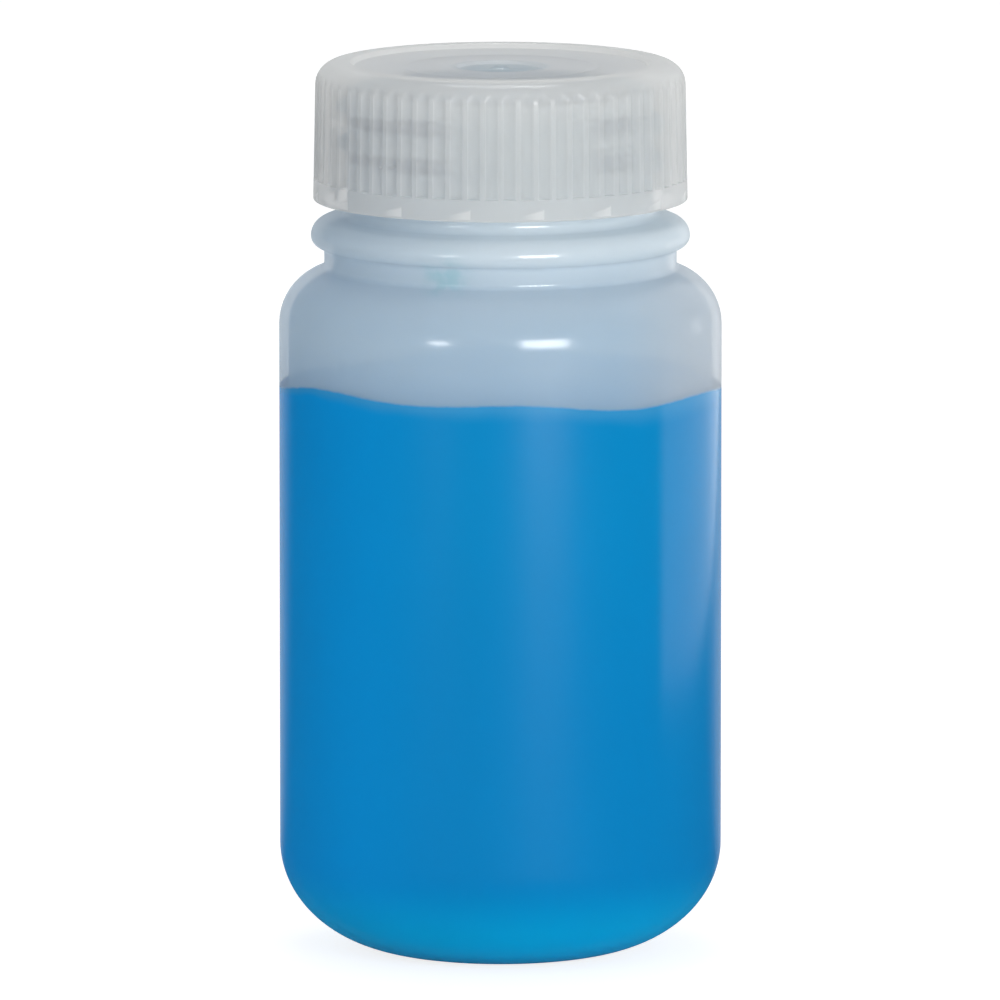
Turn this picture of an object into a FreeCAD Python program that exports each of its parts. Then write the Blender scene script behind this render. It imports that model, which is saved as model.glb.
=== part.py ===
import FreeCAD, Part
import math
import os

# A 125 ml wide-mouth laboratory bottle with its screw cap on, part filled with liquid.
# Lengths are in millimetres and angles in degrees. +Z points up, and the origin is the middle of the
# foot ring, on the surface that the bottle stands on.

# Bottle: the blown body, from the foot up
BODY_RADIUS = 25.25
HEEL_REACH = 14.8
HEEL_HEIGHT = 12.4
FOOT_RING_WIDTH = 2.6
PUSH_UP_HEIGHT = 1.2
SIDE_HEIGHT = 72.2
SHOULDER_HEIGHT = 7.0
SHOULDER_ROUND = 6.6
SHOULDER_HOLLOW = 0.7
SIDE_WALL = 1.1
BASE_WALL = 1.5

# Bottle: the groove and the hollow bead that the shoulder carries
GROOVE_RADIUS = 20.1
GROOVE_HEIGHT = 1.4
BEAD_RADIUS = 21.62
BEAD_LOWER_HEIGHT = 1.75
BEAD_LOWER_ROUND = 1.2
BEAD_LOWER_HOLLOW = 0.55
BEAD_UPPER_HEIGHT = 3.25
BEAD_UPPER_ROUND = 2.0
BEAD_UPPER_HOLLOW = 1.05

# Bottle: the neck above the bead, up to the mouth
NECK_RADIUS = 17.45
NECK_HEIGHT = 13.5
NECK_WALL = 1.6
LIP_ROUND = 0.5

# Cap: its outer form, with the wall that stands outside the thread
CAP_WALL = 1.95
CAP_DRAFT = 0.24
CAP_CORNER_ROUND = 2.6
PANEL_THICKNESS = 2.5
RIM_WIDTH = 1.4
RIM_HEIGHT = 0.55
RIM_SLOPE = 0.4
GATE_RADIUS = 4.8
GATE_DEPTH = 0.35
PIP_RADIUS = 0.8

# Cap: the grip ribs, with a round-bottomed flute between each two
RIB_COUNT = 66
RIB_CREST = 0.45
FLUTE_DEPTH = 0.35
BAND_HEIGHT = 2.5

# Cap: its inner form
PLUG_WALL = 1.0
PLUG_DEPTH = 2.6
PLUG_TAPER = 0.35
CEILING_ROUND = 0.6
LEAD_IN = 0.5

# Liquid
FILL_HEIGHT = 65.2

# Clearances between pieces
THREAD_ROOM = 1.95
SEAL_GAP = 0.1
PLUG_GAP = 0.15
BEAD_GAP = 0.9
LIQUID_GAP = 0.1

# The least round that a mould keeps where a wall leaves no room for a larger one
LEAST_ROUND = 0.1

# Heights and radii that follow from the sizes above
shoulder_top = SIDE_HEIGHT + SHOULDER_HEIGHT
groove_top = shoulder_top + GROOVE_HEIGHT
bead_middle = groove_top + BEAD_LOWER_HEIGHT
bead_top = bead_middle + BEAD_UPPER_HEIGHT
mouth = bead_top + NECK_HEIGHT
bore_radius = NECK_RADIUS - NECK_WALL
foot_outer = BODY_RADIUS - HEEL_REACH
foot_inner = foot_outer - FOOT_RING_WIDTH
ceiling = mouth + SEAL_GAP
disc_top = ceiling + PANEL_THICKNESS
cap_top = disc_top + RIM_HEIGHT
cap_bottom = bead_top + BEAD_GAP
skirt_inner = NECK_RADIUS + THREAD_ROOM
cap_radius = skirt_inner + CAP_WALL
cap_top_radius = cap_radius - CAP_DRAFT

BASE_CENTRE = FreeCAD.Vector(0, 0, 0)
AXIS = FreeCAD.Vector(0, 0, 1)
SIDEWAYS = FreeCAD.Vector(0, 1, 0)
TOUCHING = 1e-6


def at(radius, height):
    """A point of a half section, in the plane through the axis and +X."""
    return FreeCAD.Vector(radius, 0, height)


def on_circle(centre, radius, angle):
    """The point of a circle of the half section at an angle, counted from +X towards +Z."""
    turn = math.radians(angle)
    return centre + at(radius * math.cos(turn), radius * math.sin(turn))


def arc(centre, radius, start, end):
    """A circular edge of the half section between two angles."""
    middle = (start + end) / 2
    return Part.Arc(on_circle(centre, radius, start), on_circle(centre, radius, middle),
                    on_circle(centre, radius, end)).toShape()


def quarter(start, corner, end):
    """A quarter of an ellipse from start to end, touching the two sides of a square corner."""
    curve = Part.BezierCurve()
    curve.setPoles([start, corner, end])
    curve.setWeight(2, math.sqrt(0.5))
    return curve.toShape()


def swing(lower, upper, lower_round, upper_round):
    """The line from one upright wall up to another of a different radius: two tangent arcs and, where
    there is room for it, a straight slope between them. The rounds are limited to the room they have."""
    side = math.copysign(1, upper.x - lower.x)
    reach = abs(upper.x - lower.x)
    rise = upper.z - lower.z
    room = rise if reach >= rise else (reach ** 2 + rise ** 2) / (2 * reach)
    fit = min(1, room / (lower_round + upper_round))
    first = lower_round * fit
    second = upper_round * fit
    first_centre = lower + at(side * first, 0)
    second_centre = upper - at(side * second, 0)
    across = side * (first_centre.x - second_centre.x)
    apart = math.hypot(across, rise)
    lean = math.degrees(math.atan2(rise, across) - math.acos(min(1, (first + second) / apart)))
    if side < 0:
        return [arc(first_centre, first, 0, lean), arc(second_centre, second, 180 + lean, 180)]
    return [arc(first_centre, first, 180, 180 - lean), arc(second_centre, second, -lean, 0)]


def start_of(edges):
    """Where a run of edges starts."""
    return edges[0].valueAt(edges[0].FirstParameter)


def end_of(edges):
    """Where a run of edges ends."""
    return edges[-1].valueAt(edges[-1].LastParameter)


def joined(edges):
    """One run of edges, with a straight edge wherever an end and the next start lie apart."""
    run = []
    for edge in edges:
        if run and end_of(run).distanceToPoint(start_of([edge])) > TOUCHING:
            run.append(Part.makeLine(end_of(run), start_of([edge])))
        run.append(edge)
    return run


def turned(edges):
    """The solid that a closed half section sweeps around the axis."""
    return Part.Face(Part.Wire(Part.__sortEdges__(edges))).revolve(BASE_CENTRE, AXIS, 360)


def wall_line(side_inset, base_inset, neck_inset):
    """The line of the bottle's wall from the axis at the base up to the neck, moved inwards by the
    insets. A round that bulges outwards gets smaller by the inset, and a hollow one gets larger."""
    def bulge(size):
        return max(size - side_inset, LEAST_ROUND)

    side = BODY_RADIUS - side_inset
    groove = GROOVE_RADIUS - side_inset
    bead = BEAD_RADIUS - side_inset
    neck = NECK_RADIUS - neck_inset
    dish_radius = (foot_inner ** 2 + PUSH_UP_HEIGHT ** 2) / (2 * PUSH_UP_HEIGHT)
    dish_centre = at(0, base_inset + PUSH_UP_HEIGHT - dish_radius)
    dish_edge = math.degrees(math.acos(foot_inner / dish_radius))
    edges = [arc(dish_centre, dish_radius, 90, dish_edge)]
    edges.append(quarter(at(foot_outer, base_inset), at(side, base_inset), at(side, HEEL_HEIGHT)))
    edges += swing(at(side, SIDE_HEIGHT), at(groove, shoulder_top),
                   bulge(SHOULDER_ROUND), SHOULDER_HOLLOW + side_inset)
    edges += swing(at(groove, groove_top), at(bead, bead_middle),
                   BEAD_LOWER_HOLLOW + side_inset, bulge(BEAD_LOWER_ROUND))
    edges += swing(at(bead, bead_middle), at(neck, bead_top),
                   bulge(BEAD_UPPER_ROUND), BEAD_UPPER_HOLLOW + neck_inset)
    return edges


def make_bottle():
    """The blown wall, from the push-up in the base to the round lip of the mouth."""
    lip = min(LIP_ROUND, NECK_WALL / 3)
    lip_outer = arc(at(NECK_RADIUS - lip, mouth - lip), lip, 0, 90)
    lip_inner = arc(at(bore_radius + lip, mouth - lip), lip, 180, 90)
    outer = joined(wall_line(0, 0, 0) + [lip_outer])
    inner = joined(wall_line(SIDE_WALL, BASE_WALL, NECK_WALL) + [lip_inner])
    base = Part.makeLine(start_of(outer), start_of(inner))
    rim = Part.makeLine(end_of(outer), end_of(inner))
    return turned(outer + inner + [base, rim])


def cap_outside():
    """The cap's line from the foot of the skirt, over the rounded corner and the raised rim, to the
    middle of the sunk disc, where a shallow gate well holds a small pip."""
    corner_foot = cap_top - CAP_CORNER_ROUND
    corner_inner = cap_top_radius - CAP_CORNER_ROUND
    disc_edge = corner_inner - RIM_WIDTH - RIM_SLOPE
    well_floor = disc_top - GATE_DEPTH
    return [
        Part.makeLine(at(skirt_inner + LEAD_IN, cap_bottom), at(cap_radius, cap_bottom)),
        arc(at(corner_inner, corner_foot), CAP_CORNER_ROUND, 0, 90),
        Part.makeLine(at(disc_edge + RIM_SLOPE, cap_top), at(disc_edge, disc_top)),
        Part.makeLine(at(GATE_RADIUS + GATE_DEPTH, disc_top), at(GATE_RADIUS, well_floor)),
        Part.makeLine(at(PIP_RADIUS + GATE_DEPTH, well_floor), at(PIP_RADIUS, disc_top)),
        Part.makeLine(at(0, disc_top), at(0, ceiling)),
    ]


def cap_inside():
    """The cap's line from the middle of the ceiling, round the plug ring that seals in the bore, to
    the lead-in at the foot of the skirt."""
    plug_outer = bore_radius - PLUG_GAP
    plug_inner = plug_outer - PLUG_WALL
    plug_bottom = ceiling - PLUG_DEPTH
    round_centre = at(skirt_inner - CEILING_ROUND, ceiling - CEILING_ROUND)
    return [
        Part.makeLine(at(plug_inner, ceiling), at(plug_inner + PLUG_TAPER, plug_bottom)),
        Part.makeLine(at(plug_outer - PLUG_TAPER, plug_bottom),
                      at(plug_outer, plug_bottom + PLUG_TAPER * 2)),
        Part.makeLine(at(plug_outer, plug_bottom + PLUG_TAPER * 2), at(plug_outer, ceiling)),
        arc(round_centre, CEILING_ROUND, 90, 0),
        Part.makeLine(at(skirt_inner, ceiling - CEILING_ROUND), at(skirt_inner, cap_bottom + LEAD_IN)),
        Part.makeLine(at(skirt_inner, cap_bottom + LEAD_IN), at(skirt_inner + LEAD_IN, cap_bottom)),
    ]


def make_flute():
    """The round-bottomed bar that one flute is cut with, lying along the drafted skirt at +X. It
    starts above the plain band and runs out through the rounded corner."""
    chord = 2 * math.pi * cap_radius / RIB_COUNT - RIB_CREST
    bottom_round = (chord ** 2 / 4 + FLUTE_DEPTH ** 2) / (2 * FLUTE_DEPTH)
    spare = FLUTE_DEPTH / 2
    half_width = math.sqrt(bottom_round ** 2 - (bottom_round - FLUTE_DEPTH - spare) ** 2)
    draft = math.degrees(math.atan2(CAP_DRAFT, cap_top - CAP_CORNER_ROUND - cap_bottom))
    start = cap_bottom + BAND_HEIGHT
    floor = FreeCAD.Vector(cap_radius - FLUTE_DEPTH, 0, start)
    left = FreeCAD.Vector(cap_radius + spare, -half_width, start)
    right = FreeCAD.Vector(cap_radius + spare, half_width, start)
    section = Part.Wire([Part.Arc(left, floor, right).toShape(), Part.makeLine(right, left)])
    flute = Part.Face(section).extrude(AXIS * (cap_top - start))
    flute.rotate(at(cap_radius, cap_bottom), SIDEWAYS, -draft)
    return flute


def make_cap():
    """The turned cap with its flutes cut, so that a rib stands between each two. One rib faces -Y."""
    body = turned(joined(cap_outside() + cap_inside()))
    step = 360 / RIB_COUNT
    flutes = []
    for number in range(RIB_COUNT):
        flute = make_flute()
        flute.rotate(BASE_CENTRE, AXIS, -90 + step * (number + 0.5))
        flutes.append(flute)
    return body.cut(Part.makeCompound(flutes))


def make_liquid():
    """What the bottle holds: its cavity up to the fill height, clear of the wall all round."""
    wall = wall_line(SIDE_WALL + LIQUID_GAP, BASE_WALL + LIQUID_GAP, NECK_WALL + LIQUID_GAP)
    lid = Part.makeLine(at(bore_radius - LIQUID_GAP, mouth), at(0, mouth))
    side = joined(wall + [lid])
    middle = Part.makeLine(end_of(side), start_of(side))
    return turned(side + [middle]).common(Part.makeCylinder(BODY_RADIUS, FILL_HEIGHT))


os.makedirs("parts", exist_ok=True)
for name, shape in {"bottle": make_bottle(), "cap": make_cap(), "liquid": make_liquid()}.items():
    solid = shape.Solids[0] if len(shape.Solids) == 1 else shape
    solid.exportStep(f"parts/{name}.step")
    print(name, solid.ShapeType, "valid" if solid.isValid() else "not valid", f"{solid.Volume:.1f} mm3")
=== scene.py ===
# %% [markdown]
# # A wide-mouth laboratory bottle
#
# The real object is a blown bottle of milky polyethylene with a screw cap of natural polypropylene, two
# thirds full of a blue liquid. The CAD model fixes its size and how the cap moves. This lesson dresses
# that frame in Blender: the same forms, with the screw thread and all that the plastics show.

# %% The frame
import math

import bpy
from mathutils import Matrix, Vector


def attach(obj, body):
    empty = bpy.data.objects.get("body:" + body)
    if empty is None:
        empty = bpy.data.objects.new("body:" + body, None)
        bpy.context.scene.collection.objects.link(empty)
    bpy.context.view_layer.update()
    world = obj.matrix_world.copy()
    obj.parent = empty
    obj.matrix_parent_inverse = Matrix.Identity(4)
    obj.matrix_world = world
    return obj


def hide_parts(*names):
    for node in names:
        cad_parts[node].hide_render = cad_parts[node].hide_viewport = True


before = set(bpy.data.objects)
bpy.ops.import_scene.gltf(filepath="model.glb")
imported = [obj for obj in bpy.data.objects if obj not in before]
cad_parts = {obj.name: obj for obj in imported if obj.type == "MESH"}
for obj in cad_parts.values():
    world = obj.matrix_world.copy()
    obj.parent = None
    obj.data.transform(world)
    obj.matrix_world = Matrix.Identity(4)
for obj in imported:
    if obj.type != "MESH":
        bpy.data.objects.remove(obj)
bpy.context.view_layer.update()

# %% [markdown]
# ## The camera
#
# A product photo like this one is taken from far away with a long lens, so that the sides stay upright.
# A near camera with a short lens would show the bottle larger at the top. The camera stands two metres
# off, a little above the bottle, and its long lens brings the whole height into a square picture.

# %% The camera
MM = 0.001
CAMERA_DISTANCE = 2.0
CAMERA_ELEVATION = 8.4
LENS, SENSOR = 630, 36
AIM = Vector((-0.05 * MM, 0, 51.75 * MM))


def direction(azimuth, elevation):
    """The way from the bottle to something that stands round it. 0 is the camera's side, 90 the right."""
    turn, rise = math.radians(azimuth), math.radians(elevation)
    return Vector((math.sin(turn) * math.cos(rise), -math.cos(turn) * math.cos(rise), math.sin(rise)))


bpy.ops.object.camera_add(location=AIM + direction(0, CAMERA_ELEVATION) * CAMERA_DISTANCE)
camera = bpy.context.object
camera.rotation_mode = "QUATERNION"
camera.rotation_quaternion = (-direction(0, CAMERA_ELEVATION)).to_track_quat("-Z", "Y")
camera.data.sensor_width = SENSOR
camera.data.lens = LENS
camera.data.clip_start = 0.1
bpy.context.scene.camera = camera
bpy.context.scene.view_settings.view_transform = "Standard"
print("The camera sees", round(CAMERA_DISTANCE / MM * SENSOR / LENS), "mm of width at the bottle")

# %% [markdown]
# ## Shader sums
#
# A procedural material is a sum over nodes. Drawing each node by hand makes long code, so one small
# class lets an output be used in an ordinary Python sum, and each operator adds its Math node. Colours
# go through Mix nodes, because a Math node would turn them grey. Any other node comes from one method,
# which sets the node up first and then fills or links its sockets.


# %% The shader sums
class Wire:
    """One output of a shader node, which may be used in a sum like a number."""

    def __init__(self, socket):
        self.socket = socket

    def node(self, kind, settings=None, sockets=None, output=0):
        """Adds any node to this tree: its kind, its settings, and its sockets' values or links."""
        made = self.socket.id_data.nodes.new(kind)
        for name, value in (settings or {}).items():
            setattr(made, name, value)
        for key, value in (sockets or {}).items():
            if isinstance(value, Wire):
                self.socket.id_data.links.new(value.socket, made.inputs[key])
            else:
                made.inputs[key].default_value = value
        return Wire(made.outputs[output])

    def sum(self, operation, *values):
        """A Math node on this output and up to two more values."""
        return self.node("ShaderNodeMath", {"operation": operation}, dict(enumerate((self, *values))))

    def flipped(self, operation, value):
        """A Math node that has a plain number first and this output second."""
        return self.node("ShaderNodeMath", {"operation": operation}, {0: value, 1: self})

    def __add__(self, other):
        return self.sum("ADD", other)

    def __sub__(self, other):
        return self.sum("SUBTRACT", other)

    def __mul__(self, other):
        return self.sum("MULTIPLY", other)

    def __truediv__(self, other):
        return self.sum("DIVIDE", other)

    def __rsub__(self, other):
        return self.flipped("SUBTRACT", other)

    def __rtruediv__(self, other):
        return self.flipped("DIVIDE", other)

    __radd__ = __add__
    __rmul__ = __mul__

    def ramp(self, start, end):
        """0 below start, 1 above end, and a soft step between. With start above end it falls."""
        if start > end:
            return 1 - self.ramp(end, start)
        sockets = {"Value": self, "From Min": start, "From Max": end}
        return self.node("ShaderNodeMapRange", {"interpolation_type": "SMOOTHSTEP"}, sockets)

    def noise(self, scale, stretch=(1, 1, 1)):
        """Soft noise from 0 to 1 over these coordinates. A stretch over 1 squeezes it on that axis."""
        squeezed = self.node("ShaderNodeVectorMath", {"operation": "MULTIPLY"}, {0: self, 1: stretch})
        return self.node("ShaderNodeTexNoise", {}, {"Vector": squeezed, "Scale": scale, "Detail": 2.0})

    def mix(self, first, second):
        """A colour between two others, by this output as the share of the second."""
        return self.node("ShaderNodeMix", {"data_type": "RGBA"}, {0: self, 6: first, 7: second}, output=2)


class Finish:
    """A new material with its Principled shader, and the object coordinates to shade it by. x, y and z
    are in metres, right, height and radius in millimetres, and the angle in radians from +X."""

    def __init__(self, name, **values):
        self.material = bpy.data.materials.new(name)
        self.material.use_nodes = True
        self.shader = self.material.node_tree.nodes["Principled BSDF"]
        for key, value in values.items():
            self.shader.inputs[key.replace("_", " ")].default_value = value
        start = Wire(self.shader.outputs[0])
        self.place = start.node("ShaderNodeTexCoord", output=3)
        whole = {0: self.place}
        self.x, self.y, self.z = (self.place.node("ShaderNodeSeparateXYZ", {}, whole, output=axis)
                                  for axis in range(3))
        self.right = self.x * 1000
        self.height = self.z * 1000
        self.radius = (self.x * self.x + self.y * self.y).sum("SQRT") * 1000
        self.angle = self.y.sum("ARCTAN2", self.x)

    def feed(self, name, wire):
        """Links an output to a socket of the shader."""
        self.material.node_tree.links.new(wire.socket, self.shader.inputs[name])

    def show(self, shader):
        """Makes a shader what the material shows."""
        tree = self.material.node_tree
        tree.links.new(shader.socket, tree.nodes["Material Output"].inputs[0])

    def milky(self, opacity, glow, through):
        """Lets light through: glow is the share that is scattered on, and what isn't opaque is clear."""
        start = Wire(self.shader.outputs[0])
        scatter = start.node("ShaderNodeBsdfTranslucent", {}, {"Color": through})
        cloudy = start.node("ShaderNodeMixShader", {}, {0: glow, 1: start, 2: scatter})
        clear = start.node("ShaderNodeBsdfTransparent")
        self.show(start.node("ShaderNodeMixShader", {}, {0: opacity, 1: clear, 2: cloudy}))

    def near(self, point):
        """How far it is to a point, in metres."""
        sockets = {0: self.place, 1: point}
        return self.place.node("ShaderNodeVectorMath", {"operation": "DISTANCE"}, sockets, output=1)

    def bump(self, height, distance):
        """Lets a height pattern shape the surface's gloss. distance is how deep it goes, in metres."""
        sockets = {"Height": height, "Distance": distance, "Strength": 1.0}
        self.feed("Normal", height.node("ShaderNodeBump", {}, sockets))

    def lay_on(self, piece):
        """Makes this the one material of a piece."""
        piece.data.materials.clear()
        piece.data.materials.append(self.material)


def colour(red, green, blue):
    """A colour as the eye knows it, 0 to 255 a channel, in the linear numbers that a shader takes."""
    def linear(value):
        share = value / 255
        return share / 12.92 if share <= 0.04045 else ((share + 0.055) / 1.055) ** 2.4
    return (linear(red), linear(green), linear(blue), 1.0)


print("A middle grey of 188 is", round(colour(188, 188, 188)[0], 3), "in linear light")

# %% [markdown]
# ## The stage
#
# The photo has a bare white ground. Turning up the light until everything behind the bottle burns out
# would also bleach the bottle, so the ground is white by its own colour: what the camera, a reflection
# or a clear surface sees of it is mostly a plain white, and the rest is lit and keeps a faint shadow.
# The room in front, where the camera stands, is dark. The front of the bottle reflects it, and stays
# deep in colour, while its edges reflect the white behind.


# %% The floor and the white behind it
def deselected():
    """Leaves edit mode and selects nothing, so that the next operator meets only what it should."""
    if bpy.context.object and bpy.context.object.mode != "OBJECT":
        bpy.ops.object.mode_set(mode="OBJECT")
    bpy.ops.object.select_all(action="DESELECT")


def seen_directly(first):
    """1 for the camera's rays and for those that come by a reflection or through something clear."""
    rays = [first.node("ShaderNodeLightPath", output=name)
            for name in ("Is Camera Ray", "Is Glossy Ray", "Is Transmission Ray")]
    return rays[0].sum("MAXIMUM", rays[1]).sum("MAXIMUM", rays[2])


def to_the_back(x, y):
    """How far a way across the room goes to the back, which lies a little to the right."""
    return x * 0.05 + y * 0.999


def dark_room(first, behind, dark):
    """Shows reflections the dark room, unless they go to the back. behind is 1 straight to the back."""
    share = first.node("ShaderNodeLightPath", output="Is Glossy Ray") * behind.ramp(0.93, 0.66)
    return first.node("ShaderNodeMixShader", {}, {0: share, 1: first, 2: dark})


DARK_ROOM = 0.08
PAPER_LIT, PAPER_GLOW = 0.4, 0.82
FLOOR_SIZE = 12
FLOOR_DROP = 0.02 * MM
WHITE = (1, 1, 1, 1)

deselected()
bpy.ops.mesh.primitive_plane_add(size=FLOOR_SIZE, location=(0, 0, -FLOOR_DROP))
floor = bpy.context.object
floor.name = "studio_floor"
bpy.ops.object.transform_apply(location=True, rotation=False, scale=False)
paper = Finish("white_paper", Base_Color=(0.9, 0.9, 0.9, 1), Roughness=0.9, Specular_IOR_Level=0.1)
lit = paper.place.node("ShaderNodeBsdfDiffuse", {}, {"Color": (PAPER_LIT, PAPER_LIT, PAPER_LIT, 1)})
glow = paper.place.node("ShaderNodeEmission", {}, {"Color": WHITE, "Strength": PAPER_GLOW})
ground = paper.place.node("ShaderNodeAddShader", {}, {0: lit, 1: glow})
shown = paper.place.node("ShaderNodeMixShader", {},
                         {0: seen_directly(paper.place), 1: Wire(paper.shader.outputs[0]), 2: ground})
dark_floor = paper.place.node("ShaderNodeEmission", {}, {"Color": WHITE, "Strength": DARK_ROOM})
paper.show(dark_room(shown, to_the_back(paper.x, paper.y) * 1000 / paper.radius, dark_floor))
paper.lay_on(floor)
print("The paper is", FLOOR_SIZE, "m wide and lies", round(FLOOR_DROP / MM, 3), "mm under the foot")

# %% [markdown]
# ### The room
#
# The walls of a white studio send some light from everywhere. Many weak lamps could stand for them, but
# one colour of the world does it evenly and is quick. Where the camera or a clear surface looks straight
# at the world it is pure white, and reflections meet the same dark front as on the paper.

# %% The room's even light
AMBIENT = 0.50

world = bpy.data.worlds.new("white_room")
world.use_nodes = True
bpy.context.scene.world = world
even = Wire(world.node_tree.nodes["Background"].outputs[0])
even.socket.node.inputs["Color"].default_value = (0.985, 0.99, 1, 1)
even.socket.node.inputs["Strength"].default_value = AMBIENT
backdrop = even.node("ShaderNodeBackground", {}, {"Color": WHITE, "Strength": 1.0})
room = even.node("ShaderNodeMixShader", {}, {0: seen_directly(even), 1: even, 2: backdrop})
way = [even.node("ShaderNodeSeparateXYZ", {}, {0: even.node("ShaderNodeTexCoord")}, output=axis)
       for axis in (0, 1)]
dark = even.node("ShaderNodeBackground", {}, {"Color": WHITE, "Strength": DARK_ROOM})
room = dark_room(room, to_the_back(*way), dark)
world.node_tree.links.new(room.socket, world.node_tree.nodes["World Output"].inputs[0])
print("The room lights everything evenly with", AMBIENT, "of full white")

# %% [markdown]
# ## The light
#
# The glints on the shoulder and the bead say where the lamps stood: a large soft box close to the
# camera's right, only a little above the bottle, a weaker one on the left, and one overhead, behind
# the cap. Each is set up twice. One lamp only lights, and the other, its bright face, only shows in
# reflections, so the glints come out white and the pale plastic doesn't burn out. A white panel on the
# right is only reflected too, and its image washes over that side, with a small bright spot in it that
# gives the faint glint on the right of the shoulder. Each lamp is given by how bright its face is, and
# its power follows from its size.


# %% The soft boxes
def soft_box(name, place, aim, size, brightness, task):
    """A lamp at a place, turned to a point. brightness is that of its face, where white is 1. Its task
    is light, when it lights and isn't reflected, or gloss, when it is only seen in reflections."""
    deselected()
    bpy.ops.object.light_add(type="AREA", location=place)
    lamp = bpy.context.object
    lamp.name = name
    lamp.rotation_mode = "QUATERNION"
    lamp.rotation_quaternion = (aim - place).to_track_quat("-Z", "Y")
    lamp.data.shape = "RECTANGLE"
    lamp.data.size, lamp.data.size_y = size
    lamp.data.energy = brightness * math.pi * size[0] * size[1]
    lamp.visible_camera = False
    lamp.visible_diffuse = task == "light"
    lamp.visible_glossy = task == "gloss"
    print(name, round(lamp.data.energy, 2), "W")


MIDDLE = Vector((0, 0, 60 * MM))
for name, azimuth, elevation, distance, size, brightness, task in (
    ("key_box", 28, 10, 1.2, (0.40, 0.36), 12.6, "light"),
    ("key_face", 23, 9.5, 1.2, (0.50, 0.30), 94, "gloss"),
    ("fill_box", -50, 20, 1.2, (0.40, 0.36), 2.2, "light"),
    ("fill_face", -32, 9, 1.2, (0.20, 0.16), 84, "gloss"),
    ("top_box", 180, 76, 0.9, (0.45, 0.45), 1.9, "light"),
    ("top_face", 180, 76, 0.9, (0.40, 0.30), 50, "gloss"),
):
    soft_box(name, MIDDLE + direction(azimuth, elevation) * distance, MIDDLE, size, brightness, task)
for name, place, size, brightness in (
    ("side_panel", (0.16, 0.19, 0.16), (0.40, 0.30), 2.5),
    ("side_face", (0.158, 0.085, 0.078), (0.04, 0.04), 6),
):
    soft_box(name, Vector(place), Vector((0, *place[1:])), size, brightness, "gloss")

# %% [markdown]
# ## Turned pieces
#
# Bottle, cap and liquid are all round, so each starts as one line, the half section, which is then spun
# about the axis. A line could be traced as a curve and given a Screw modifier. Here it is drawn as by
# hand, from a primitive that is merged to a single corner and extruded from point to point, because the
# operator for spinning then closes the form, and doubles can be merged at the seam and the pole.

# %% Lines and how they are spun
MERGE = 0.001 * MM


def drawn(name, points):
    """A new piece that is one line, drawn through points of radius and height in millimetres."""
    deselected()
    places = [Vector((radius, 0, height)) * MM for radius, height in points]
    bpy.ops.mesh.primitive_plane_add(size=MM, location=places[0])
    piece = bpy.context.object
    piece.name = piece.data.name = name
    bpy.ops.object.transform_apply(location=True, rotation=False, scale=False)
    bpy.ops.object.mode_set(mode="EDIT")
    bpy.ops.mesh.select_all(action="SELECT")
    bpy.ops.mesh.merge(type="CENTER")
    for before, after in zip(places, places[1:]):
        bpy.ops.mesh.extrude_vertices_move(TRANSFORM_OT_translate={"value": after - before})
    return piece


def spin(steps, degrees=360.0, copies=False):
    """Spins all about the upright axis, or with copies sets copies of it round the axis."""
    bpy.ops.mesh.select_all(action="SELECT")
    bpy.ops.mesh.spin(steps=steps, dupli=copies, angle=math.radians(degrees),
                      center=(0, 0, 0), axis=(0, 0, 1))


def turned(degrees):
    """Turns all about the upright axis. The operator needs the angle with the other sign."""
    bpy.ops.mesh.select_all(action="SELECT")
    bpy.ops.transform.rotate(value=-math.radians(degrees), orient_axis="Z", center_override=(0, 0, 0))


def closed():
    """Merges seam and poles, and turns all faces outwards."""
    bpy.ops.mesh.select_all(action="SELECT")
    bpy.ops.mesh.remove_doubles(threshold=MERGE)
    bpy.ops.mesh.normals_make_consistent(inside=False)
    bpy.ops.object.mode_set(mode="OBJECT")


def smooth(piece, degrees):
    """Shades a piece smooth, with its edges sharper than this angle left crisp."""
    deselected()
    piece.select_set(True)
    bpy.context.view_layer.objects.active = piece
    bpy.ops.object.shade_smooth_by_angle(angle=math.radians(degrees))
    print(piece.name, len(piece.data.vertices), "corners,", len(piece.data.polygons), "faces")


def arc(centre, radius, start, end, steps):
    """Points on an arc of the half section, between two angles from outwards towards up."""
    angles = [math.radians(start + (end - start) * step / steps) for step in range(steps + 1)]
    return [(centre[0] + radius * math.cos(turn), centre[1] + radius * math.sin(turn)) for turn in angles]


print("Corners nearer than", MERGE / MM, "mm are merged")

# %% [markdown]
# ## The bottle's wall
#
# On the real bottle foot, heel, side, shoulder, groove, bead and neck are one blown wall, thin at the
# side and thicker at the neck. It could be a surface with a Solidify modifier, but the inner wall of a
# blown bottle has its own, tighter and wider rounds, so both lines are drawn. Between two upright walls
# the line swings over with two rounds and a slope, which is how the shoulder, the groove and the bead
# are made. The sizes are those of the CAD model, in millimetres.

# %% The bottle's sizes and lines
BODY_RADIUS, SIDE_HEIGHT, SIDE_WALL, BASE_WALL = 25.25, 72.2, 1.1, 1.5
HEEL_REACH, HEEL_HEIGHT, FOOT_RING_WIDTH, PUSH_UP_HEIGHT = 14.8, 12.4, 2.6, 1.2
SHOULDER_TOP, SHOULDER_ROUND, SHOULDER_HOLLOW = 79.2, 6.6, 0.7
GROOVE_RADIUS, GROOVE_TOP = 20.1, 80.6
BEAD_RADIUS, BEAD_MIDDLE, BEAD_TOP = 21.62, 82.35, 85.6
BEAD_LOWER_ROUND, BEAD_LOWER_HOLLOW, BEAD_UPPER_ROUND, BEAD_UPPER_HOLLOW = 1.2, 0.55, 2.0, 1.05
NECK_RADIUS, NECK_WALL, MOUTH, LIP_ROUND = 17.45, 1.6, 99.1, 0.5
ROUND_STEPS, HEEL_STEPS, LIP_STEPS = 10, 30, 6
LEAST_ROUND, SAME_PLACE = 0.1, 0.02


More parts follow.
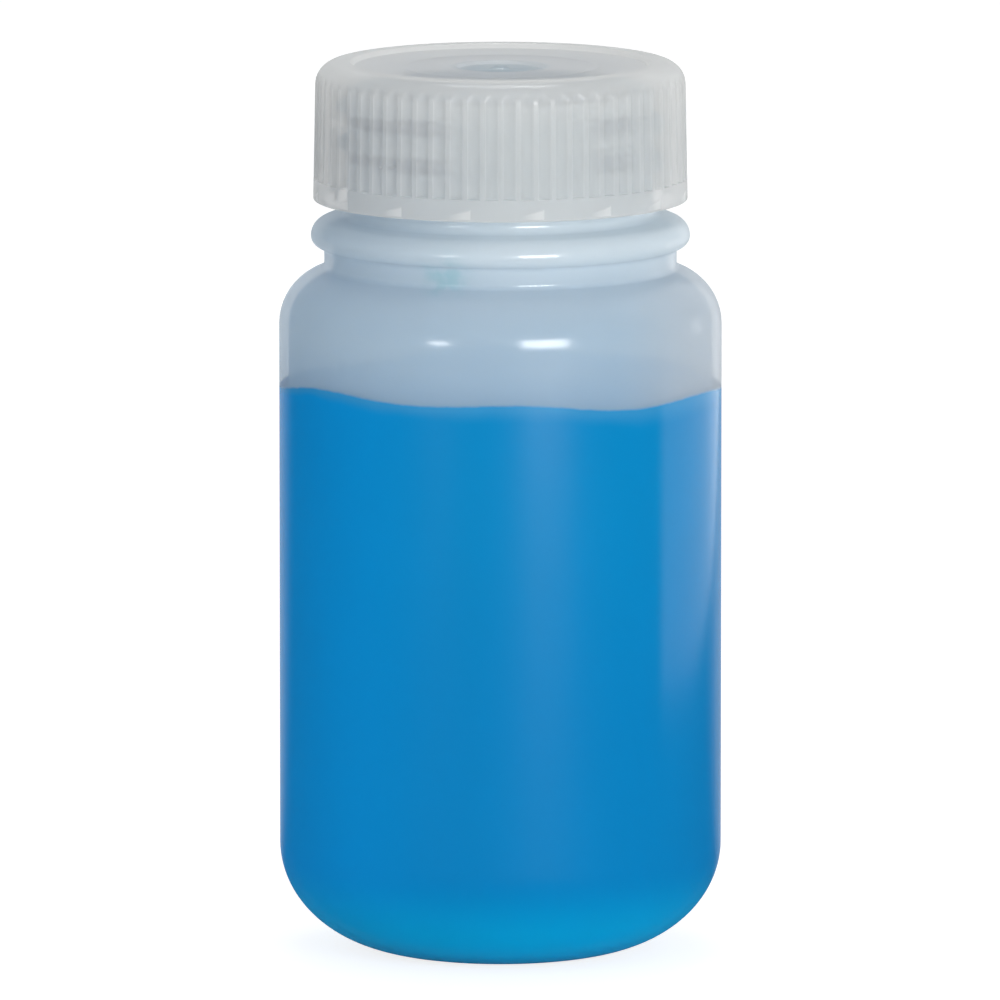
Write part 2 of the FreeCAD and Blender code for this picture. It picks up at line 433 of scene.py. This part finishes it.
def swing(lower, upper, lower_round, upper_round):
    """The line from one upright wall up to another: two rounds with a slope between them."""
    side = 1 if upper[0] > lower[0] else -1
    reach, rise = abs(upper[0] - lower[0]), upper[1] - lower[1]
    room = rise if reach >= rise else (reach ** 2 + rise ** 2) / (2 * reach)
    fit = min(1, room / (lower_round + upper_round))
    first, second = lower_round * fit, upper_round * fit
    across = first + second - reach
    apart = math.hypot(across, rise)
    lean = math.degrees(math.atan2(rise, across) - math.acos(min(1, (first + second) / apart)))
    if side < 0:
        return (arc((lower[0] - first, lower[1]), first, 0, lean, ROUND_STEPS)
                + arc((upper[0] + second, upper[1]), second, 180 + lean, 180, ROUND_STEPS))
    return (arc((lower[0] + first, lower[1]), first, 180, 180 - lean, ROUND_STEPS)
            + arc((upper[0] - second, upper[1]), second, -lean, 0, ROUND_STEPS))


def heel(base, side):
    """A quarter ellipse from the foot ring, which all lines meet alike, out and up to the side."""
    reach = side - (BODY_RADIUS - HEEL_REACH)
    turns = [math.pi / 2 * step / HEEL_STEPS for step in range(HEEL_STEPS + 1)]
    return [(side - reach * (1 - math.sin(turn)), HEEL_HEIGHT - (HEEL_HEIGHT - base) * math.cos(turn))
            for turn in turns]


def wall_line(side_inset, base_inset, neck_inset):
    """The wall's line from the axis up to the neck, moved in by the insets."""
    side, groove = BODY_RADIUS - side_inset, GROOVE_RADIUS - side_inset
    bead, neck = BEAD_RADIUS - side_inset, NECK_RADIUS - neck_inset
    foot = BODY_RADIUS - HEEL_REACH - FOOT_RING_WIDTH
    dish = (foot ** 2 + PUSH_UP_HEIGHT ** 2) / (2 * PUSH_UP_HEIGHT)
    edge = math.degrees(math.acos(foot / dish))
    points = arc((0, base_inset + PUSH_UP_HEIGHT - dish), dish, 90, edge, ROUND_STEPS)
    points += heel(base_inset, side)
    points += swing((side, SIDE_HEIGHT), (groove, SHOULDER_TOP),
                    SHOULDER_ROUND - side_inset, SHOULDER_HOLLOW + side_inset)
    points += swing((groove, GROOVE_TOP), (bead, BEAD_MIDDLE),
                    BEAD_LOWER_HOLLOW + side_inset, max(BEAD_LOWER_ROUND - side_inset, LEAST_ROUND))
    points += swing((bead, BEAD_MIDDLE), (neck, BEAD_TOP),
                    BEAD_UPPER_ROUND - side_inset, BEAD_UPPER_HOLLOW + neck_inset)
    return points


def plain(points):
    """The same points without those that lie on the one before."""
    kept = [points[0]]
    for point in points[1:]:
        if math.dist(point, kept[-1]) > SAME_PLACE:
            kept.append(point)
    return kept


bore = NECK_RADIUS - NECK_WALL
lip = (arc((NECK_RADIUS - LIP_ROUND, MOUTH - LIP_ROUND), LIP_ROUND, 0, 90, LIP_STEPS)
       + arc((bore + LIP_ROUND, MOUTH - LIP_ROUND), LIP_ROUND, 90, 180, LIP_STEPS))
bottle_section = plain(wall_line(0, 0, 0) + lip + wall_line(SIDE_WALL, BASE_WALL, NECK_WALL)[::-1])
print("The bottle's half section has", len(bottle_section), "points")

# %% [markdown]
# The section is then spun all the way round. 160 steps leave facets of about a millimetre at the side,
# which smooth shading hides, and the outline of the bottle still looks round from close by.

# %% The bottle is spun
ROUND_FACES = 160

bottle = drawn("bottle_wall", bottle_section)
spin(ROUND_FACES)
closed()
print("The wall is", len(bottle.data.polygons), "faces")

# %% [markdown]
# ## The screw thread
#
# The neck carries a raised thread of two turns, and the cap a matching one inside. A thread is a small
# section that climbs as it goes round, which the Screw modifier makes exactly. Its two ends run out
# into the wall: their rings are drawn in towards it step by step. A Boolean modifier then makes wall
# and thread one skin, as in the mould, so that nothing of the thread's root is left inside the plastic.

# %% The thread
PITCH = 4.233
THREAD_START, THREAD_HEIGHT = -130, 93.55
THREAD_STEPS = 72
RUN_OUT_RINGS, LEAST_SHARE = 9, 0.02
ROOT_SUNK = 0.2


def ridge_section(wall, side, crest, root_half, crest_half):
    """The thread's section, with its root sunk in the wall. side is -1 where the wall lies inside it."""
    root = wall + side * ROOT_SUNK
    return [(root, -root_half), (crest, -crest_half), (crest, crest_half), (root, root_half)]


def thread(name, section, start_angle, start_height, turns, wall):
    """A thread ridge of some turns, whose ends are drawn in to the wall's radius."""
    ridge = drawn(name, [(radius, start_height + height) for radius, height in section])
    # A face joins the section's ends, and without it its edges stay, as a closed ring.
    bpy.ops.mesh.select_all(action="SELECT")
    bpy.ops.mesh.edge_face_add()
    bpy.ops.mesh.delete(type="ONLY_FACE")
    bpy.ops.object.mode_set(mode="OBJECT")
    steps = round(THREAD_STEPS * turns)
    screw = ridge.modifiers.new("climb", "SCREW")
    screw.axis = "Z"
    screw.angle = math.radians(360 * turns)
    screw.screw_offset = PITCH * turns * MM
    screw.steps = screw.render_steps = steps
    screw.use_merge_vertices = False
    bpy.ops.object.modifier_apply(modifier=screw.name)
    corners = len(section)
    rings = len(ridge.data.vertices) // corners
    order = ring_order(ridge, corners, rings)
    crest = section[1][0]
    for number in range(RUN_OUT_RINGS):
        share = max(math.sin(math.pi / 2 * number / RUN_OUT_RINGS), LEAST_SHARE)
        scale = (wall + (crest - wall) * share) / crest
        for ring in (number, rings - 1 - number):
            pick(ridge, order[ring][1:3])
            bpy.ops.transform.resize(value=(scale, scale, 1), center_override=(0, 0, 0))
    for ring in (0, rings - 1):
        pick(ridge, order[ring])
        bpy.ops.mesh.edge_face_add()
    turned(start_angle)
    closed()
    return ridge


def ring_order(ridge, corners, rings):
    """The corner numbers of each ring of a screwed section, in the section's order."""
    first = ridge.data.vertices[1].co - ridge.data.vertices[0].co
    along = abs(first.y) < 1e-9
    return [[ring * corners + corner if along else corner * rings + ring for corner in range(corners)]
            for ring in range(rings)]


def pick(piece, corners):
    """Selects some corners of a piece by their numbers and leaves it in edit mode."""
    if bpy.context.object.mode != "EDIT":
        bpy.ops.object.mode_set(mode="EDIT")
    bpy.ops.mesh.select_mode(type="VERT")
    bpy.ops.mesh.select_all(action="DESELECT")
    bpy.ops.object.mode_set(mode="OBJECT")
    for corner in corners:
        piece.data.vertices[corner].select = True
    bpy.ops.object.mode_set(mode="EDIT")


def merged(piece, other):
    """Makes one skin of two pieces with a Boolean modifier, and deletes the second."""
    deselected()
    bpy.context.view_layer.objects.active = piece
    piece.select_set(True)
    union = piece.modifiers.new("one_skin", "BOOLEAN")
    union.operation, union.solver, union.object = "UNION", "EXACT", other
    bpy.ops.object.modifier_apply(modifier=union.name)
    bpy.data.objects.remove(other)
    print(piece.name, "now has", len(piece.data.polygons), "faces")


NECK_TURNS, CAP_TURNS = 2, 1.75

neck_section = ridge_section(NECK_RADIUS, -1, crest=18.7, root_half=1.1, crest_half=0.42)
neck_thread = thread("neck_thread", neck_section, THREAD_START, THREAD_HEIGHT - PITCH, NECK_TURNS,
                     NECK_RADIUS - ROOT_SUNK / 2)
merged(bottle, neck_thread)
smooth(bottle, 32)

# %% [markdown]
# ## The cap
#
# The cap is injection moulded: a rounded top edge round a sunk disc, a plain band at the foot, and 66
# grip ribs with round-bottomed flutes between them. Inside are the thread and a ring that plugs the
# bore. Cutting 66 flutes with Booleans would leave ragged faces, so one rib with half a flute on each
# side is spun through its small angle, its flute is drawn in column by column, and copies of that one
# sector are set round the axis and merged. Here is the half section, corner by corner with its rounds.

# %% The cap's sizes and half section
CAP_RADIUS, CAP_BOTTOM, CAP_TOP, CAP_TOP_RADIUS = 21.35, 86.5, 102.25, 21.11
CORNER_ROUND, DISC_TOP, RIM_WIDTH, RIM_SLOPE = 2.6, 101.7, 1.4, 0.4
SKIRT_INNER, CEILING, LEAD_IN, CEILING_ROUND = 19.4, 99.2, 0.5, 0.6
PLUG_OUTER, PLUG_WALL, PLUG_DEPTH, PLUG_TAPER = 15.7, 1.0, 2.6, 0.35
RIB_COUNT, FLUTE_DEPTH, FLUTE_START = 66, 0.35, 89.0
SECTOR_STEPS = 8
EDGE_ROUND = 0.18
GATE_RADIUS, GATE_DEPTH, PIP_RADIUS, PIP_TOP = 4.8, 0.35, 0.8, DISC_TOP - 0.1
RING_RADIUS, RING_HALF, RING_DEPTH = 10.9, 0.3, 0.08


def rounded(corners):
    """A line through corners of radius, height and round, with each round drawn as an arc."""
    points = []
    for index, (x, y, size) in enumerate(corners):
        if not size:
            points.append((x, y))
            continue
        here = Vector((x, y))
        back = (Vector(corners[index - 1][:2]) - here).normalized()
        ahead = (Vector(corners[index + 1][:2]) - here).normalized()
        half = back.angle(ahead) / 2
        centre = here + (back + ahead).normalized() * size / math.sin(half)
        first, last = here + back * size / math.tan(half), here + ahead * size / math.tan(half)
        start = math.atan2(*(first - centre).yx)
        sweep = math.remainder(math.atan2(*(last - centre).yx) - start, 2 * math.pi)
        steps = max(2, round(abs(sweep) * (3 + size * 2.5)))
        points += [tuple(centre + Vector((math.cos(start + sweep * step / steps),
                                          math.sin(start + sweep * step / steps))) * size)
                   for step in range(steps + 1)]
    return points


corner_inner = CAP_TOP_RADIUS - CORNER_ROUND
disc_edge = corner_inner - RIM_WIDTH - RIM_SLOPE
draft = (CAP_RADIUS - CAP_TOP_RADIUS) / (CAP_TOP - CORNER_ROUND - CAP_BOTTOM)
top_corner = CAP_RADIUS - draft * (CAP_TOP - CAP_BOTTOM)
cap_corners = [
    (0, PIP_TOP, 0), (PIP_RADIUS, PIP_TOP, 0.1), (PIP_RADIUS + 0.3, DISC_TOP - GATE_DEPTH, 0.05),
    (GATE_RADIUS, DISC_TOP - GATE_DEPTH, 0.1), (GATE_RADIUS + GATE_DEPTH, DISC_TOP, 0.15),
    (RING_RADIUS - RING_HALF, DISC_TOP, 0), (RING_RADIUS, DISC_TOP - RING_DEPTH, 0),
    (RING_RADIUS + RING_HALF, DISC_TOP, 0), (disc_edge, DISC_TOP, 0.2),
    (disc_edge + RIM_SLOPE, CAP_TOP, 0.2), (top_corner, CAP_TOP, CORNER_ROUND),
    (CAP_RADIUS - draft * 9, CAP_BOTTOM + 9, 0), (CAP_RADIUS - draft * 5.5, CAP_BOTTOM + 5.5, 0),
    (CAP_RADIUS - draft * 2.62, FLUTE_START + 0.12, 0), (CAP_RADIUS - draft * 2.5, FLUTE_START - 0.02, 0),
    (CAP_RADIUS, CAP_BOTTOM, EDGE_ROUND), (SKIRT_INNER + LEAD_IN, CAP_BOTTOM, EDGE_ROUND),
    (SKIRT_INNER, CAP_BOTTOM + LEAD_IN, EDGE_ROUND), (SKIRT_INNER, CEILING, CEILING_ROUND),
    (PLUG_OUTER, CEILING, 0.15), (PLUG_OUTER, CEILING - PLUG_DEPTH + 2 * PLUG_TAPER, 0),
    (PLUG_OUTER - PLUG_TAPER, CEILING - PLUG_DEPTH, 0.15),
    (PLUG_OUTER - PLUG_WALL + PLUG_TAPER, CEILING - PLUG_DEPTH, 0.15),
    (PLUG_OUTER - PLUG_WALL, CEILING, 0.15), (0, CEILING, 0),
]
cap_section = plain(rounded(cap_corners))
print("The cap's half section has", len(cap_section), "points")

# %% [markdown]
# ### One rib of the cap
#
# A flute is the arc that a round cutter leaves. The columns of corners between its two edges are scaled
# in towards the axis, each row to its own radius, because the skirt is a little narrower at the top. The
# rows in the rounded corner are drawn in only as far as they stand out, so the flute runs out there.

# %% One sector of the cap
PITCH_ANGLE = 360 / RIB_COUNT
chord = 2 * math.radians(PITCH_ANGLE) * CAP_RADIUS * (SECTOR_STEPS / 2 - 1) / SECTOR_STEPS
flute_round = (chord ** 2 / 4 + FLUTE_DEPTH ** 2) / (2 * FLUTE_DEPTH)

cap = drawn("screw_cap", cap_section)
spin(SECTOR_STEPS, PITCH_ANGLE)
bpy.ops.object.mode_set(mode="OBJECT")
NEAR_COLUMN = 0.1
for column in range(2, SECTOR_STEPS - 1):
    turn = column * PITCH_ANGLE / SECTOR_STEPS
    offset = math.radians(turn - PITCH_ANGLE / 2) * CAP_RADIUS
    depth = FLUTE_DEPTH - flute_round + math.sqrt(flute_round ** 2 - offset ** 2)
    rows = {}
    for corner in cap.data.vertices:
        radius, height = math.hypot(corner.co.x, corner.co.y) / MM, corner.co.z / MM
        floor_radius = CAP_RADIUS - depth - draft * (height - CAP_BOTTOM)
        here = abs(math.degrees(math.atan2(corner.co.y, corner.co.x)))
        if radius > floor_radius and height > FLUTE_START + 0.05 and abs(here - turn) < NEAR_COLUMN:
            rows.setdefault(round(height, 3), (floor_radius / radius, []))[1].append(corner.index)
    for scale, corners in rows.values():
        pick(cap, corners)
        bpy.ops.transform.resize(value=(scale, scale, 1), center_override=(0, 0, 0))
        bpy.ops.object.mode_set(mode="OBJECT")
print("One sector has", len(cap.data.polygons), "faces")

# %% [markdown]
# ### All ribs
#
# The spin operator can also set copies round its axis. They meet corner on corner, so that merging the
# doubles makes one closed cap of them. At last it is turned until a rib faces the camera.

# %% The sectors are set round the axis
bpy.ops.object.mode_set(mode="EDIT")
spin(RIB_COUNT - 1, 360 - PITCH_ANGLE, copies=True)
turned(-90)
closed()
print("The cap is", len(cap.data.polygons), "faces without its thread")

# %% [markdown]
# ### The thread in the cap
#
# The cap's thread is the same kind of ridge, turned inwards. It lies half a pitch off the neck's, so that
# each runs in the other's hollow, and it has a smaller section, as the room between the turns demands.

# %% The cap's own thread
cap_thread_section = ridge_section(SKIRT_INNER, 1, crest=17.85, root_half=0.85, crest_half=0.32)
cap_thread = thread("cap_thread", cap_thread_section, THREAD_START, THREAD_HEIGHT - PITCH / 2,
                    CAP_TURNS, SKIRT_INNER + ROOT_SUNK / 2)
print("The cap's thread is", len(cap_thread.data.polygons), "faces")

# %% [markdown]
# ### The ramps in the cap
#
# Inside the foot of the skirt sixteen low ramps show through the plastic. They rise against the way in
# which the cap is screwed on and end in a steep face, as on a ratchet. One is a cube whose far corners
# are set lower. Its copies go round the axis, and they become one skin with the cap like its thread.

# %% The ramps at the foot of the skirt
RAMP_COUNT, RAMP_START = 16, -76.6
RAMP_SIZE = Vector((1.2, 3.0, 1.15))
RAMP_FOOT, RAMP_FALL, RAMP_EDGE = 86.75, 0.85, 0.08

deselected()
ramp_middle = Vector((SKIRT_INNER + 0.1, -RAMP_SIZE.y / 2, RAMP_FOOT + RAMP_SIZE.z / 2))
bpy.ops.mesh.primitive_cube_add(size=MM, location=ramp_middle * MM, scale=RAMP_SIZE)
ramps = bpy.context.object
bpy.ops.object.transform_apply(location=True, rotation=False, scale=True)
pick(ramps, [corner.index for corner in ramps.data.vertices
             if corner.co.y < ramp_middle.y * MM and corner.co.z > ramp_middle.z * MM])
bpy.ops.transform.translate(value=(0, 0, -RAMP_FALL * MM))
bpy.ops.mesh.select_all(action="SELECT")
bpy.ops.mesh.bevel(offset=RAMP_EDGE * MM, segments=2, affect="EDGES")
spin(RAMP_COUNT - 1, 360 - 360 / RAMP_COUNT, copies=True)
turned(RAMP_START)
closed()
print("The ramps are", len(ramps.data.polygons), "faces")
deselected()
ramps.select_set(True)
cap_thread.select_set(True)
bpy.context.view_layer.objects.active = cap_thread
bpy.ops.object.join()
merged(cap, cap_thread)
smooth(cap, 32)

# %% [markdown]
# ## The liquid
#
# The liquid fills the bottle up to its level and wets the wall a little higher, unevenly, as the photo
# shows. It is spun from the line of the wall, a hair clear of it, and its rim is then lifted column by
# column. The height of that rim is one short sum of waves, which the wall's material uses as well. Each
# pair of the meniscus says how far it has dropped below the level at a distance from the wall.

# %% The liquid's body
LEVEL = 65.2
LIQUID_GAP = 0.1
MENISCUS = ((0.12, 0.05), (0.5, 0.2), (1.3, 0.33), (3, 0.4), (9, 0.42))
FILM_LEVEL = 65.58
FILM_WAVES = ((1, 0.275, -160.0), (2, 0.534, -34.2), (3, 0.216, 174.8), (6, 0.342, -121.2))


def film_height(angle, sine):
    """How high the liquid wets the wall, in millimetres, at an angle. sine works on numbers or wires."""
    height = FILM_LEVEL
    for count, size, turn in FILM_WAVES:
        height = height + size * sine(angle * count + math.radians(turn))
    return height


wetted = wall_line(SIDE_WALL + LIQUID_GAP, BASE_WALL + LIQUID_GAP, NECK_WALL + LIQUID_GAP)
wetted = plain([point for point in wetted if point[1] < HEEL_HEIGHT + 0.1])
inner_side = BODY_RADIUS - SIDE_WALL - LIQUID_GAP
surface = [(inner_side, height) for height in (30, 50, LEVEL - 0.9, LEVEL)]
surface += [(inner_side - inwards, LEVEL - down) for inwards, down in MENISCUS]
surface += [(0, surface[-1][1])]
liquid = drawn("blue_liquid", wetted + surface)
spin(ROUND_FACES)
closed()

columns = {}
for corner in liquid.data.vertices:
    radius, height = math.hypot(corner.co.x, corner.co.y) / MM, corner.co.z / MM
    if radius > inner_side - 0.2 and height > LEVEL - 0.1:
        turn = math.atan2(corner.co.y, corner.co.x)
        columns.setdefault(round(turn / (2 * math.pi) * ROUND_FACES), []).append(corner.index)
for number, corners in columns.items():
    lift = film_height(2 * math.pi * number / ROUND_FACES, math.sin) - LEVEL
    pick(liquid, corners)
    bpy.ops.transform.translate(value=(0, 0, lift * MM))
bpy.ops.object.mode_set(mode="OBJECT")
smooth(liquid, 40)

# %% [markdown]
# ## Milky polyethylene
#
# Light goes into this plastic, is scattered and comes out again somewhere near, so the wall looks like
# milky glass, and it takes on the colour of what touches it. Where the liquid wets it, it glows blue,
# and higher up only a bluish tint is left. A volume inside the wall could show that, but it is slow and
# noisy. Here the wall lets part of the light through and shows a milky colour for the rest, and that
# colour changes at the line that the liquid wets, softly, as far as light creeps in the wall.
#
# Two more things are patterns in the colour: painted shade in the dark gaps between the turns of the
# thread under the cap, at the sides only, and a faint stain on the shoulder.

# %% The bottle's material
VALLEY_HEIGHT = 92.1
STAIN = (-0.0062, -0.0190, 0.0802)

plastic = Finish("milky_polyethylene", Specular_IOR_Level=0, Coat_Roughness=0.17)
film = film_height(plastic.angle, lambda wire: wire.sum("SINE"))
patches = plastic.place.noise(90, (1, 1, 0.6))
fine = plastic.place.noise(520)
above = plastic.height - film + (patches - 0.5) * 0.3 + (fine - 0.5) * 0.2
wet = above.ramp(0.22, -0.22)
# Painted light: a paler blue band under the wetted line, deepest towards the right front, for light that
# creeps down the wall from the lit plastic above.
painted_haze_depth = 1.6 + (plastic.angle + 0.6).sum("COSINE") + (patches - 0.5) * 2
painted_haze = (above / painted_haze_depth).ramp(-1.0, 0.0)
deep = plastic.height.ramp(60, 25).mix(colour(0, 138, 201), colour(0, 132, 197))
# Painted light: the wet wall is lighter and bluer towards the left, where the lamps light it less.
deep = plastic.right.ramp(-2, -24).mix(deep, colour(0, 150, 226))
deep = (painted_haze * 0.75).mix(deep, colour(64, 154, 207))
# Painted light: the heel is lighter towards the foot, for light bounced up from the floor.
deep = plastic.height.ramp(12, 1).mix(deep, colour(0, 182, 235))
# Painted light: the dry wall is bluer and darker just above the liquid, for blue light from the liquid,
# and paler up at the shoulder.
dry = plastic.height.ramp(64, 73).mix(colour(166, 197, 222), colour(190, 214, 231))
# Painted light and shade: the neck and bead are paler than the wall below, partly against the shade of
# the cap, and darker towards the left, away from the key lamp.
neck = plastic.right.ramp(4, -22).mix(colour(233, 244, 250), colour(203, 220, 233))
# Painted light: the dry wall turns paler and greyer towards the right, for the sheen of the panel on that
# side.
dry = (plastic.right.ramp(12, 23) * 0.8).mix(dry, colour(208, 216, 222))
dry = plastic.height.ramp(73, 85).mix(dry, neck)
# Painted shade: the gaps between the thread's turns under the cap are dark blue, at the sides only.
valley = ((plastic.height - VALLEY_HEIGHT) * (2 * math.pi / PITCH)).sum("COSINE").ramp(-0.2, 0.5)
valley = valley * plastic.height.ramp(89.8, 90.4)
valley = valley * plastic.radius.ramp(18.3, 17.7) * plastic.radius.ramp(16.4, 16.8)
dim = (plastic.angle + 2.6).sum("COSINE").ramp(0.72, 0.88)
dim = dim + (plastic.angle + 0.73).sum("COSINE").ramp(0.97, 0.995) * 0.6
dry = (valley * dim).mix(dry, colour(10, 72, 122))
stain = plastic.near(STAIN).ramp(0.0040, 0.0005) * fine.ramp(0.3, 0.6)
dry = (stain * 0.45).mix(dry, colour(96, 196, 204))
plastic.feed("Base Color", wet.mix(dry, deep))
plastic.feed("Coat Weight", wet * 0.02 - plastic.height.ramp(86, 88) * 0.16 + 0.32)
plastic.feed("Roughness", 0.35 + patches * 0.07 + fine * 0.04)
solid = plastic.height.ramp(78, 84) * 0.18
plastic.milky(wet * 0.25 + solid + 0.70 + (patches - 0.5) * 0.06, (1 - wet) * 0.34, (0.92, 0.96, 0.98, 1))
plastic.bump(fine * 0.25 + patches * 1.6, 0.06 * MM)
plastic.lay_on(bottle)
print("The wall's finish has", len(plastic.material.node_tree.nodes), "nodes")

# %% [markdown]
# ## Natural polypropylene
#
# The cap is of a stiffer and clearer plastic without any colour of its own. The neck behind the skirt
# shows through it, and so do the ramps. The outer skin covers more than the inner faces do, because all
# the layers behind each other would else hide what lies between them. The plastic is thickest at the
# ramps, which are whiter, partly for that and partly as a painted highlight of their steep faces. Its
# colour also has painted light and shade: darker towards the left, lighter on top, and a faint painted
# blue glow from the liquid in the middle of the disc.

# %% The cap's material
natural = Finish("natural_polypropylene", Specular_IOR_Level=0, Coat_Roughness=0.15)
cloud = natural.place.noise(110)
crest_radius = CAP_RADIUS - (natural.height - CAP_BOTTOM) * draft
crest = (natural.radius - crest_radius).ramp(-0.16, -0.02)
body = cloud.mix(colour(213, 214, 213), colour(221, 222, 221))
# Painted shade: the cap is darker towards the left, away from the key lamp.
body = natural.right.ramp(-15, -22).mix(body, colour(197, 198, 197))
# Painted light: the cap is lighter on top.
body = natural.height.ramp(99.8, 101.4).mix(body, colour(232, 233, 232))
# Painted light: a faint blue glow in the middle of the disc, for the liquid's light from below.
middle = natural.radius.ramp(6.5, 3.5) * natural.height.ramp(100, 101)
body = (middle * 0.7).mix(body, colour(166, 194, 208))
ramp_share = math.degrees(RAMP_SIZE.y / SKIRT_INNER) / (360 / RAMP_COUNT)
along = ((natural.angle * (180 / math.pi) - RAMP_START) / (360 / RAMP_COUNT) + ramp_share).sum("FRACT")
ramp_top = along * (RAMP_FALL / ramp_share) + RAMP_FOOT + RAMP_SIZE.z - RAMP_FALL
# Painted highlight, partly real: the ramps are whiter where the plastic is thickest and where their steep
# faces glint.
thick_and_glint = (natural.height - ramp_top).ramp(0.10, -0.20)
thick_and_glint = thick_and_glint * natural.height.ramp(RAMP_FOOT - 0.1, RAMP_FOOT + 0.1)
thick_and_glint = thick_and_glint * along.ramp(0.05, 0.35) * along.ramp(ramp_share + 0.01, ramp_share - 0.01)
body = (thick_and_glint * 0.6).mix(body, colour(250, 251, 250))
natural.feed("Base Color", (crest * 0.25).mix(body, colour(236, 237, 236)))
natural.feed("Coat Weight", 0.10 + cloud * 0.08)
natural.feed("Roughness", 0.38 + cloud * 0.08)
outside = natural.radius.ramp(19.95, 20.3).sum("MAXIMUM", natural.height.ramp(100.3, 101))
cover = outside * 0.34 + natural.height.ramp(98.5, 101) * 0.08 + thick_and_glint * 0.25
cover = cover + crest * 0.04 + (cloud - 0.5) * 0.05
natural.milky(cover + 0.31, 0.4, (0.91, 0.91, 0.90, 1))
natural.bump(cloud, 0.05 * MM)
natural.lay_on(cap)
print("The cap's finish has", len(natural.material.node_tree.nodes), "nodes")

# %% [markdown]
# ## The blue solution
#
# The liquid is seen only through the milky wall, which blurs all detail, so a plain deep blue is enough.
# It could be a clear volume, but behind the wall that would cost much time and look the same. Its gloss
# and index of refraction, 1.33, are those of water.

# %% The liquid's material
blue = Finish("blue_solution", Roughness=0.06, Specular_IOR_Level=0.5, IOR=1.33)
swirl = blue.place.noise(45, (1, 1, 0.5))
blue.feed("Base Color", swirl.mix(colour(0, 132, 200), colour(0, 142, 208)))
blue.bump(swirl, 0.04 * MM)
blue.lay_on(liquid)
print("Three finishes are on: polyethylene, polypropylene and the blue solution")

# %% [markdown]
# ## Pieces and bodies
#
# Each piece is attached to the body of the frame that it moves with, and the CAD node that it stands for
# is hidden.

# %% Bodies and nodes
for piece, body, node, slot in (
    (bottle, "vessel", "bottle", "bottle_plastic"),
    (cap, "closure", "cap", "cap_plastic"),
    (liquid, "vessel", "liquid", "blue_liquid"),
):
    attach(piece, body)
    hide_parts(node)
